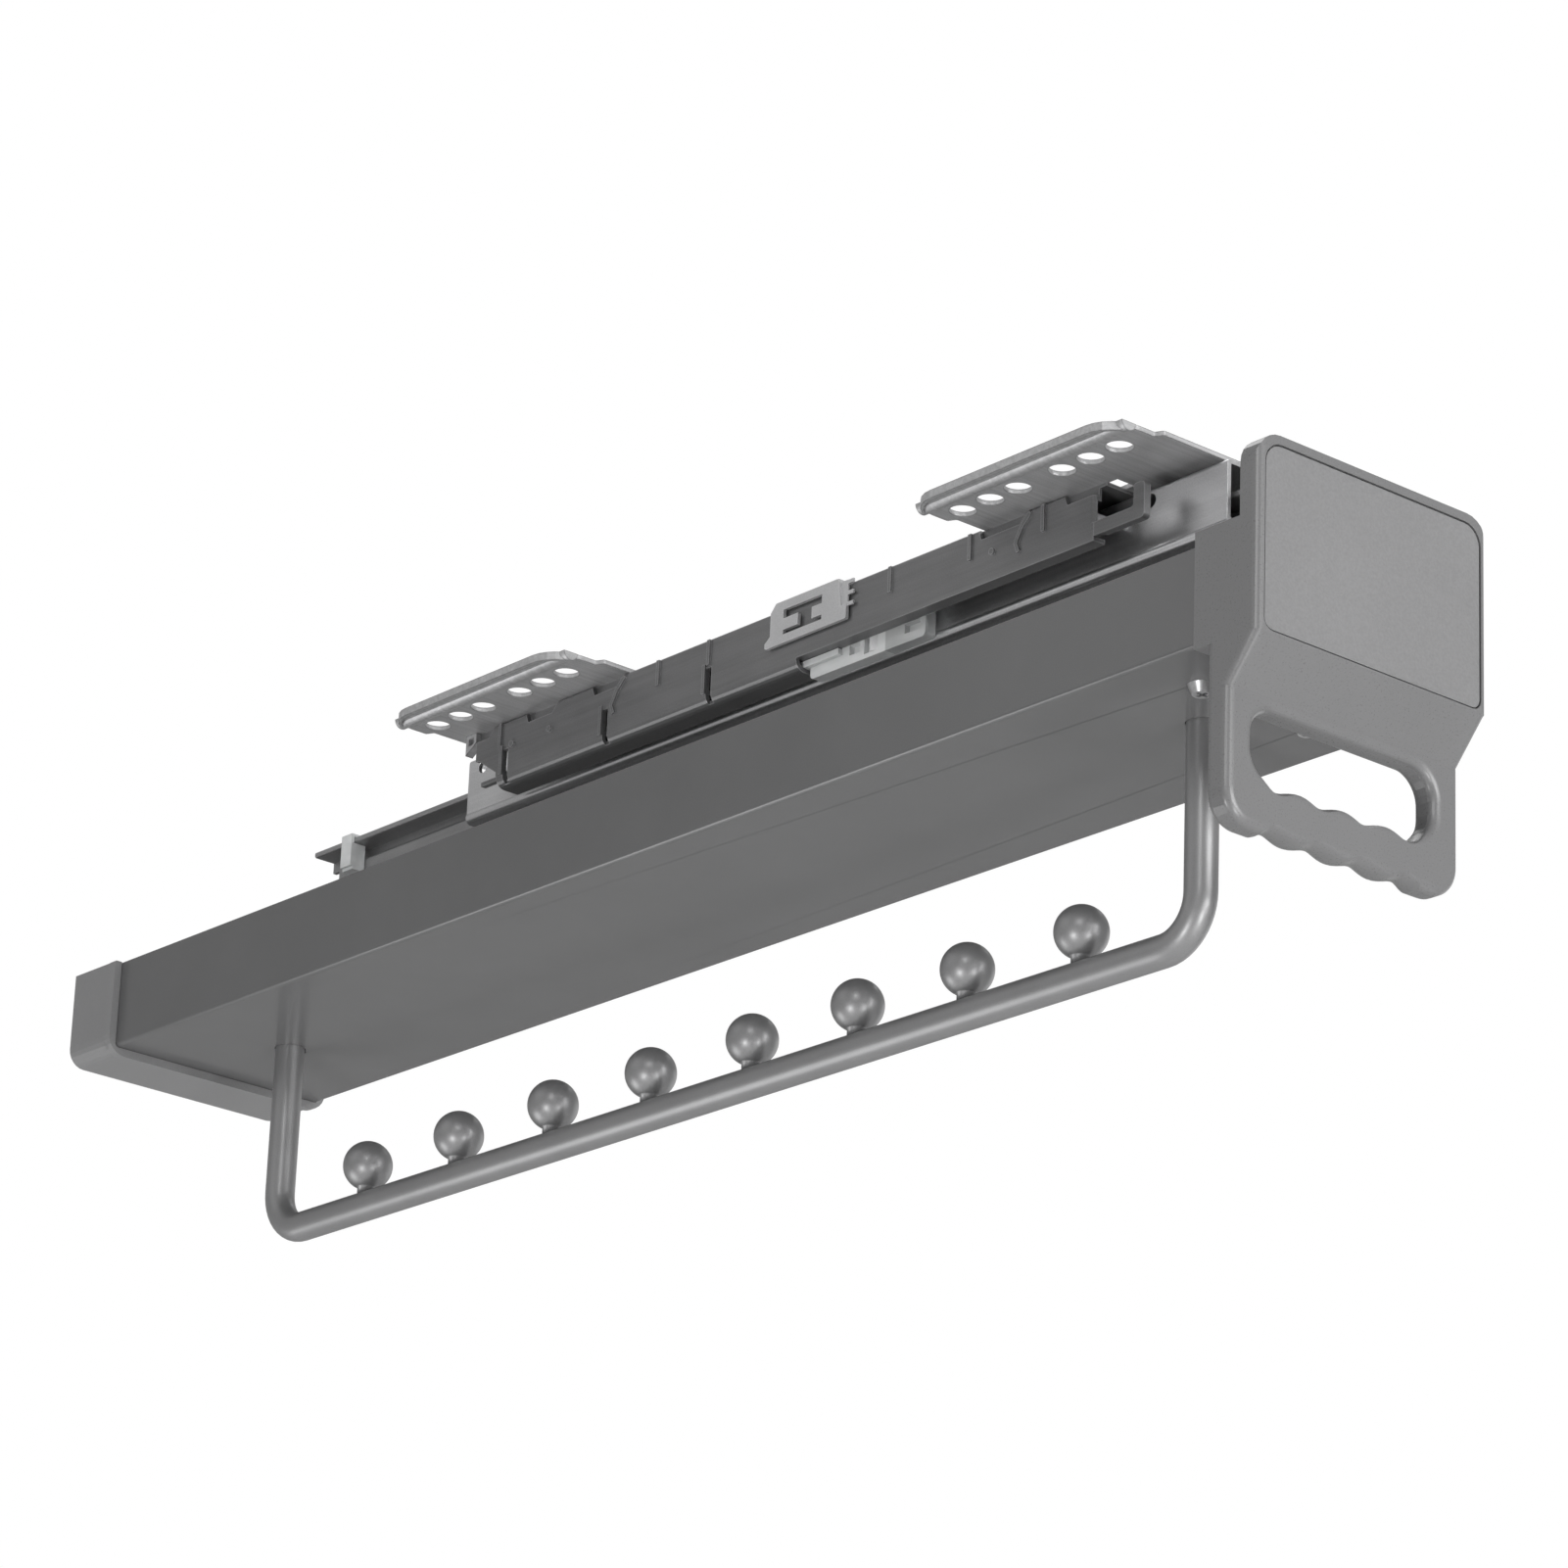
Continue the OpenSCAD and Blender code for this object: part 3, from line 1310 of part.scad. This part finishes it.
module front_socket() { rod_socket(rod_front); }
module rear_socket() { rod_socket(rod_rear); }

// Screws that draw the legs of the rod into their sockets
module socket_screws() {
    color([0.7, 0.7, 0.7]) place() for (y = [rod_front, rod_rear])
        translate([0, y, beam_floor]) {
            translate([0, 0, rod_in / 3]) cylinder(h = socket_h - rod_in / 3, d = stud_d);
            translate([0, 0, socket_h]) difference() {
                cylinder(h = stud_head_h, d = stud_head_d);
                translate([0, 0, stud_head_h / 2]) cylinder(h = stud_head_h, d = stud_head_d / 2, $fn = 6);
            }
        }
}

// One stop ball with its neck, seated on the rod
module ball(i) {
    y = rod_front + rod_span / 2 + (i - (ball_count + 1) / 2) * ball_pitch;
    up = rod_d / 2 + ball_neck + ball_d / 2;
    if (i <= ball_count)
        color([0.5, 0.5, 0.51]) place() translate([0, y, -rod_drop]) difference() {
            union() {
                translate([0, 0, up]) sphere(d = ball_d);
                cylinder(h = up, d = neck_d);
            }
            rotate([90, 0, 0]) translate([0, 0, -neck_d]) cylinder(h = 2 * neck_d, d = rod_d);
        }
}

module ball_1() { ball(1); }
module ball_2() { ball(2); }
module ball_3() { ball(3); }
module ball_4() { ball(4); }
module ball_5() { ball(5); }
module ball_6() { ball(6); }
module ball_7() { ball(7); }
module ball_8() { ball(8); }

front_bracket();
rear_bracket();
front_rivets();
rear_rivets();
fixed_rail();
rail_clip();
front_catches();
middle_rail();
outer_cage_left();
outer_cage_right();
outer_roller_left_front();
outer_roller_left_mid();
outer_roller_left_rear();
outer_roller_right_front();
outer_roller_right_mid();
outer_roller_right_rear();
guide_roller_left();
guide_roller_right();
inner_cage();
inner_rollers_front();
inner_rollers_mid();
inner_rollers_rear();
drawer_rail();
front_saddle();
rear_saddle();
rail_screws();
tray_beam();
rear_cap();
front_panel();
front_plate();
panel_screws();
hanging_rod();
front_socket();
rear_socket();
socket_screws();
ball_1();
ball_2();
ball_3();
ball_4();
ball_5();
ball_6();
ball_7();
ball_8();
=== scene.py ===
import json
import math

import bpy
from mathutils import Matrix, Vector


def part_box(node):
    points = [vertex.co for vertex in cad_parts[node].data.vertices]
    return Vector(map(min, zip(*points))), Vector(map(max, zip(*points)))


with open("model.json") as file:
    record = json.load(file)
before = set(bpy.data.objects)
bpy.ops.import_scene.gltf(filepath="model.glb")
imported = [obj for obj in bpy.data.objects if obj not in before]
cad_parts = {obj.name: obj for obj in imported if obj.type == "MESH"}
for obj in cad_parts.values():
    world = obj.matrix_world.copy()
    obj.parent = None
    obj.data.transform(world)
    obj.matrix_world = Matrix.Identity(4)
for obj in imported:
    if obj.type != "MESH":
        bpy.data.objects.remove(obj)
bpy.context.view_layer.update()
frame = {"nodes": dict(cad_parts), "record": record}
nodes = frame["nodes"]
scene = bpy.context.scene


# ---- Node helpers. Lengths are in metres, and place is the object's own coordinates. ----

NOISE_LOW, NOISE_HIGH = 0.3, 0.7  # most of a noise's values lie between these
TONE_SPAN = 0.5                   # the most that noise may move a grey, as a share of it
COOLNESS = 1.012                  # blue over red and green in every grey
EDGE_SAMPLES = 6
FLAT_COSINE, EDGE_COSINE = 0.995, 0.9  # between the true and the rounded normal
WHITE = (1, 1, 1, 1)


def new_material(name):
    """A node material; returns it with its tree, its Principled shader and its object coordinates."""
    material = bpy.data.materials.new(name)
    material.use_nodes = True
    tree = material.node_tree
    shader = tree.nodes["Principled BSDF"]
    place = tree.nodes.new("ShaderNodeTexCoord").outputs["Object"]
    return material, tree, shader, place


def plug(tree, socket, value):
    """Links an output to the socket, or sets the socket to a plain value."""
    if isinstance(value, bpy.types.NodeSocket):
        tree.links.new(value, socket)
    else:
        socket.default_value = value


def noise(tree, place, scale, stretch=(1, 1, 1), detail=3.0, rough=0.55):
    """Noise with scale features per metre, drawn out along each axis where stretch is below 1."""
    mapping = tree.nodes.new("ShaderNodeMapping")
    plug(tree, mapping.inputs["Vector"], place)
    plug(tree, mapping.inputs["Scale"], stretch)
    texture = tree.nodes.new("ShaderNodeTexNoise")
    plug(tree, texture.inputs["Vector"], mapping.outputs["Vector"])
    plug(tree, texture.inputs["Scale"], scale)
    plug(tree, texture.inputs["Detail"], detail)
    plug(tree, texture.inputs["Roughness"], rough)
    return texture.outputs["Fac"]


def remap(tree, value, low, high, to_low, to_high):
    """A value from low..high moved to to_low..to_high, held at both ends."""
    ranges = tree.nodes.new("ShaderNodeMapRange")
    plug(tree, ranges.inputs["Value"], value)
    plug(tree, ranges.inputs["From Min"], low)
    plug(tree, ranges.inputs["From Max"], high)
    plug(tree, ranges.inputs["To Min"], to_low)
    plug(tree, ranges.inputs["To Max"], to_high)
    return ranges.outputs["Result"]


def math_node(tree, operation, a, b):
    """A sum, product or other operation on two outputs or numbers."""
    node = tree.nodes.new("ShaderNodeMath")
    node.operation = operation
    plug(tree, node.inputs[0], a)
    plug(tree, node.inputs[1], b)
    return node.outputs[0]


def mix_colours(tree, factor, first, second):
    """The first colour where the factor is 0, and the second where it is 1."""
    mix = tree.nodes.new("ShaderNodeMix")
    mix.data_type = "RGBA"
    plug(tree, mix.inputs["Factor"], factor)
    plug(tree, mix.inputs["A"], first)
    plug(tree, mix.inputs["B"], second)
    return mix.outputs["Result"]


def cool_grey(value):
    """A grey with slightly more blue."""
    return (value, value, value * COOLNESS, 1)


def toned_grey(tree, grey, *noises):
    """A grey made lighter and darker by noises, each with the share by which it moves the grey."""
    tone = None
    for value, share in noises:
        swing = remap(tree, value, NOISE_LOW, NOISE_HIGH, -1, 1)
        part = math_node(tree, "MULTIPLY", swing, share)
        tone = part if tone is None else math_node(tree, "ADD", tone, part)
    factor = remap(tree, tone, -TONE_SPAN, TONE_SPAN, 0, 1)
    darkest, lightest = cool_grey(grey * (1 - TONE_SPAN)), cool_grey(grey * (1 + TONE_SPAN))
    return mix_colours(tree, factor, darkest, lightest)


def bump(tree, shader, height, distance, strength):
    """Adds a bump on top of any bump that the shader has."""
    node = tree.nodes.new("ShaderNodeBump")
    plug(tree, node.inputs["Height"], height)
    plug(tree, node.inputs["Distance"], distance)
    plug(tree, node.inputs["Strength"], strength)
    earlier = shader.inputs["Normal"].links
    if earlier:
        plug(tree, node.inputs["Normal"], earlier[0].from_socket)
    plug(tree, shader.inputs["Normal"], node.outputs["Normal"])


def edge_mask(tree, radius):
    """1 on sharp edges, falling to 0 on flat ground further off than the radius."""
    rounded = tree.nodes.new("ShaderNodeBevel")
    rounded.samples = EDGE_SAMPLES
    plug(tree, rounded.inputs["Radius"], radius)
    true = tree.nodes.new("ShaderNodeNewGeometry")
    cosine = tree.nodes.new("ShaderNodeVectorMath")
    cosine.operation = "DOT_PRODUCT"
    plug(tree, cosine.inputs[0], rounded.outputs["Normal"])
    plug(tree, cosine.inputs[1], true.outputs["Normal"])
    return remap(tree, cosine.outputs["Value"], FLAT_COSINE, EDGE_COSINE, 0.0, 1.0)


# ---- Materials ----

ALONG_RAIL, ACROSS_RAIL, EVENLY = (1, 0.03, 1), (0.03, 1, 1), (1, 1, 1)  # how streaks are drawn out
EDGE_TONE_WIDTH = 0.0005      # how far the edge tone, partly wear and partly painted light and shade, reaches from an edge
LIGHTEST_EDGE = 0.8      # an edge's tone, partly wear and partly a painted highlight, is never lighter than this
PLASTIC_IOR = 1.49
MILKY, CLEAR = 0.3, 0.6  # share of light let through
CLEAR_RAMP = 0.0005      # length over which a clear end turns milky
CLEAR_END = 0.015        # length of the clear block at the front of each outer cage


def sheet_metal(name, grey, metallic, rough, streak=0.0, speck=0.06, wear_and_edge_shading=0.0,
                stretch=ALONG_RAIL, edge=2.2, grain=1.0):
    """Rolled, plated or coated sheet with streaks, specks and stains.

    The share of edge wear and shading sets how far sharp edges take a tone of their own, which is edge
    times the grey: a lighter edge tone is partly real wear and partly a painted highlight, a darker
    one is painted shade.
    grain is the strength of the relief.
    """
    material, tree, shader, place = new_material(name)
    stains = noise(tree, place, scale=38, detail=4, rough=0.6)
    lines = noise(tree, place, scale=900, stretch=stretch, detail=2)
    specks = noise(tree, place, scale=2600, detail=1, rough=0.4)
    colour = toned_grey(tree, grey, (stains, 0.07), (lines, streak), (specks, speck))
    # Painted light and shade on sharp edges: they take edge times the grey, partly real wear and
    # partly a painted highlight where lighter, painted shade where darker.
    if wear_and_edge_shading:
        patchy = remap(tree, stains, 0.35, 0.6, wear_and_edge_shading * 0.5, wear_and_edge_shading)
        edge_wear_and_shading = math_node(tree, "MULTIPLY", edge_mask(tree, EDGE_TONE_WIDTH), patchy)
        colour = mix_colours(tree, edge_wear_and_shading, colour, cool_grey(min(LIGHTEST_EDGE, grey * edge)))
    uneven = math_node(tree, "ADD", lines, stains)
    plug(tree, shader.inputs["Base Color"], colour)
    plug(tree, shader.inputs["Metallic"], metallic)
    plug(tree, shader.inputs["Roughness"], remap(tree, uneven, 0.7, 1.3, rough * 0.93, rough * 1.08))
    bump(tree, shader, lines, distance=0.00002, strength=0.5 * grain)
    bump(tree, shader, specks, distance=0.00001, strength=0.4 * grain)
    return material


def anodised(name, grey, metallic, rough):
    """Extruded and anodised aluminium: an even satin face with a very fine grain and faint clouds."""
    material, tree, shader, place = new_material(name)
    clouds = noise(tree, place, scale=24, detail=4, rough=0.6)
    grains = noise(tree, place, scale=3200, detail=1, rough=0.5)
    uneven = remap(tree, clouds, NOISE_LOW, NOISE_HIGH, rough * 0.92, rough * 1.08)
    plug(tree, shader.inputs["Base Color"], toned_grey(tree, grey, (clouds, 0.04), (grains, 0.04)))
    plug(tree, shader.inputs["Metallic"], metallic)
    plug(tree, shader.inputs["Roughness"], uneven)
    bump(tree, shader, grains, distance=0.000004, strength=0.25)
    return material


def moulded(name, grey, rough, grain=2200, depth=0.00002, speck=0.05):
    """Moulded plastic with faint flow marks and a fine eroded grain of so many features per metre."""
    material, tree, shader, place = new_material(name)
    flow = noise(tree, place, scale=22)
    grains = noise(tree, place, scale=grain, detail=2, rough=0.6)
    uneven = remap(tree, grains, NOISE_LOW, NOISE_HIGH, rough * 0.88, rough * 1.12)
    plug(tree, shader.inputs["Base Color"], toned_grey(tree, grey, (flow, 0.03), (grains, speck)))
    plug(tree, shader.inputs["Roughness"], uneven)
    bump(tree, shader, grains, distance=depth, strength=0.6)
    return material


def metallic_paint(name, grey, rough):
    """Satin metallic paint on round bar: tiny flakes under a thin clear layer."""
    material, tree, shader, place = new_material(name)
    flakes = noise(tree, place, scale=3500, detail=1, rough=0.5)
    clouds = noise(tree, place, scale=60)
    ripples = noise(tree, place, scale=500, detail=2)
    uneven = remap(tree, flakes, NOISE_LOW, NOISE_HIGH, rough * 0.9, rough * 1.15)
    plug(tree, shader.inputs["Base Color"], toned_grey(tree, grey, (flakes, 0.05), (clouds, 0.04)))
    plug(tree, shader.inputs["Metallic"], 0.6)
    plug(tree, shader.inputs["Roughness"], uneven)
    plug(tree, shader.inputs["Coat Weight"], 0.2)
    plug(tree, shader.inputs["Coat Roughness"], 0.24)
    bump(tree, shader, ripples, distance=0.00001, strength=0.2)
    return material


def clear_plastic(name, clear_to=None):
    """Milky moulded polymer with faint flow lines, clearer where y is below clear_to."""
    material, tree, shader, place = new_material(name)
    flow = noise(tree, place, scale=260, stretch=(1, 0.3, 1), detail=2)
    tint = remap(tree, flow, 0.35, 0.65, 0, 1)
    through = MILKY
    if clear_to is not None:
        parts = tree.nodes.new("ShaderNodeSeparateXYZ")
        plug(tree, parts.inputs["Vector"], place)
        through = remap(tree, parts.outputs["Y"], clear_to - CLEAR_RAMP, clear_to, CLEAR, MILKY)
    plug(tree, shader.inputs["Base Color"],
         mix_colours(tree, tint, (0.86, 0.88, 0.88, 1), (0.97, 0.98, 0.98, 1)))
    plug(tree, shader.inputs["Transmission Weight"], through)
    plug(tree, shader.inputs["IOR"], PLASTIC_IOR)
    plug(tree, shader.inputs["Roughness"], remap(tree, flow, 0.35, 0.65, 0.06, 0.16))
    bump(tree, shader, flow, distance=0.00003, strength=0.5)
    return material


# How each finish is made. The names are the record's material slots, and two of this script's own.
FINISHES = {
    # bracket_steel's edges are made darker than its face: painted shade along its rim, not wear.
    "bracket_steel": (sheet_metal, dict(grey=0.44, metallic=0.6, rough=0.46, streak=0.12, wear_and_edge_shading=0.9,
                                        edge=0.35, stretch=ACROSS_RAIL)),
    "rivet_steel": (sheet_metal, dict(grey=0.55, metallic=0.9, rough=0.35)),
    # The lighter edges of these steels are partly real wear and partly a painted highlight.
    "rail_dark": (sheet_metal, dict(grey=0.165, metallic=0.5, rough=0.36, streak=0.08, wear_and_edge_shading=0.9,
                                    grain=0.4)),
    "clip_steel": (sheet_metal, dict(grey=0.54, metallic=0.7, rough=0.40, wear_and_edge_shading=0.4, grain=0.5)),
    "rail_light": (sheet_metal, dict(grey=0.68, metallic=0.95, rough=0.30, streak=0.05, wear_and_edge_shading=0.1,
                                     grain=0.12)),
    "drawer_steel": (sheet_metal, dict(grey=0.36, metallic=0.8, rough=0.42, streak=0.06, wear_and_edge_shading=0.2,
                                       grain=0.2)),
    "screw_steel": (sheet_metal, dict(grey=0.48, metallic=0.9, rough=0.34, stretch=EVENLY)),
    "beam_aluminium": (anodised, dict(grey=0.116, metallic=0.12, rough=0.21)),
    "cap_plastic": (moulded, dict(grey=0.19, rough=0.42)),
    "panel_plastic": (moulded, dict(grey=0.14, rough=0.30)),
    "plate_plastic": (moulded, dict(grey=0.165, rough=0.55, grain=1500, depth=0.00003, speck=0.09)),
    "rod_paint": (metallic_paint, dict(grey=0.25, rough=0.40)),
    "clear_plastic": (clear_plastic, dict()),
    "clear_end_plastic": (clear_plastic, dict(clear_to=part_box("outer_cage_left")[0][1] + CLEAR_END)),
    "roller_plastic": (moulded, dict(grey=0.75, rough=0.25, grain=1800, depth=0.00001, speck=0.03)),
}
MATERIALS = {name: make(name, **settings) for name, (make, settings) in FINISHES.items()}

# The drawer rail is duller than the middle rail, and the outer cages end in a clear block.
OWN_FINISH = {"drawer_rail": "drawer_steel", "outer_cage_left": "clear_end_plastic",
              "outer_cage_right": "clear_end_plastic"}
for part in frame["record"]["subparts"]:
    obj = nodes[part["node"]]
    obj.data.materials.clear()
    obj.data.materials.append(MATERIALS[OWN_FINISH.get(part["node"], part["material_slot"])])


# ---- Soft edges on the solids ----

WELD_DISTANCE = 0.000002
BEVEL_SEGMENTS = 2
SHARP_ANGLE = math.radians(40)
SOFT_EDGES = {  # the width of each piece's softened edges; the other pieces keep the CAD's edges
    "front_panel": 0.0003, "front_plate": 0.0003, "rear_cap": 0.0004, "tray_beam": 0.00025,
    "fixed_rail": 0.00015, "middle_rail": 0.0002, "drawer_rail": 0.0002, "front_bracket": 0.0002,
    "rear_bracket": 0.0002, "rail_clip": 0.00015, "front_catches": 0.0002,
}
for name, obj in nodes.items():
    weld = obj.modifiers.new("weld", "WELD")
    weld.merge_threshold = WELD_DISTANCE
    if name in SOFT_EDGES:
        bevel = obj.modifiers.new("bevel", "BEVEL")
        bevel.width = SOFT_EDGES[name]
        bevel.segments = BEVEL_SEGMENTS
        bevel.limit_method = "ANGLE"
        bevel.angle_limit = SHARP_ANGLE
        bevel.harden_normals = True
        bevel.use_clamp_overlap = True


# ---- Camera: placed as the photograph shows the rack ----

PHOTO_PIXELS = 1601
FOCAL_PIXELS = 6071.7788
SENSOR_WIDTH = 36  # millimetres
NEAREST_SEEN = 0.05
CAMERA_PLACE = Vector((-0.91800841, -1.06258636, -0.57208468))
RIGHT = Vector((0.75548876, -0.65407539, 0.03771084))
DOWN = Vector((0.25763612, 0.24367394, -0.93501157))
FORWARD = Vector((0.60237891, 0.71610641, 0.35260637))
cam_data = bpy.data.cameras.new("camera")
cam_data.sensor_width = SENSOR_WIDTH
cam_data.lens = FOCAL_PIXELS * SENSOR_WIDTH / PHOTO_PIXELS
cam_data.clip_start = NEAREST_SEEN
camera = bpy.data.objects.new("camera", cam_data)
scene.collection.objects.link(camera)
turn = Matrix((RIGHT, -DOWN, -FORWARD)).transposed().to_4x4()
camera.matrix_world = Matrix.Translation(CAMERA_PLACE) @ turn
scene.camera = camera


# ---- Studio: a white surround that lights the object softly, eight softboxes and a floor ----

AMBIENT = 0.38  # the surround's strength as light and in reflections
SEEN = 1.0      # its strength as the background, also through clear plastic
LIT_POINT = Vector((0.0, 0.0, -0.06))
SOFTBOXES = (  # name, place, width and height, watts
    ("key", (0.2, -1.6, 0.0), (0.8, 0.8), 19),
    ("edge_left", (-1.05, -0.88, 0.46), (0.3, 0.3), 2.4),
    ("back_left", (-0.84, 0.42, 0.43), (0.65, 0.65), 0.6),
    ("low_left", (-1.13, -0.28, -0.72), (0.22, 0.22), 4.5),
    ("low_back", (-0.46, 0.72, -0.64), (0.4, 0.42), 1.9),
    ("low_right", (-0.15, -1.32, -0.75), (0.2, 0.2), 5),
    ("top", (0.3, 0.2, 1.2), (1.4, 1.4), 12),
    ("fill_right", (1.2, 0.2, -0.1), (0.8, 0.8), 1.5),
)
FLOOR_SIZE, FLOOR_LEVEL = 8, -0.85
FLOOR_GLOW = 0.4  # makes the floor paler to the camera alone, so that it keeps the object's shadow

world = bpy.data.worlds.new("studio")
scene.world = world
world.use_nodes = True
tree = world.node_tree
background = tree.nodes["Background"]
ray = tree.nodes.new("ShaderNodeLightPath")
seen = math_node(tree, "MAXIMUM", ray.outputs["Is Camera Ray"], ray.outputs["Is Transmission Ray"])
plug(tree, background.inputs["Strength"], remap(tree, seen, 0, 1, AMBIENT, SEEN))
plug(tree, background.inputs["Color"], WHITE)

for name, place, (width, height), watts in SOFTBOXES:
    light = bpy.data.lights.new(name, "AREA")
    light.shape = "RECTANGLE"
    light.size, light.size_y = width, height
    light.energy = watts
    softbox = bpy.data.objects.new(name, light)
    scene.collection.objects.link(softbox)
    softbox.location = place
    softbox.rotation_euler = (LIT_POINT - Vector(place)).to_track_quat("-Z", "Y").to_euler()

bpy.ops.mesh.primitive_plane_add(size=FLOOR_SIZE, location=(0, 0, FLOOR_LEVEL))
floor = bpy.context.object
floor.name = "floor"
material, tree, shader, place = new_material("floor")
patches = noise(tree, place, scale=3, detail=2)
ray = tree.nodes.new("ShaderNodeLightPath")
plug(tree, shader.inputs["Base Color"],
     mix_colours(tree, patches, (0.80, 0.80, 0.80, 1), (0.84, 0.84, 0.84, 1)))
plug(tree, shader.inputs["Roughness"], 0.8)
plug(tree, shader.inputs["Emission Color"], WHITE)
plug(tree, shader.inputs["Emission Strength"],
     remap(tree, ray.outputs["Is Camera Ray"], 0, 1, 0, FLOOR_GLOW))
floor.data.materials.append(material)

scene.view_settings.view_transform = "Standard"
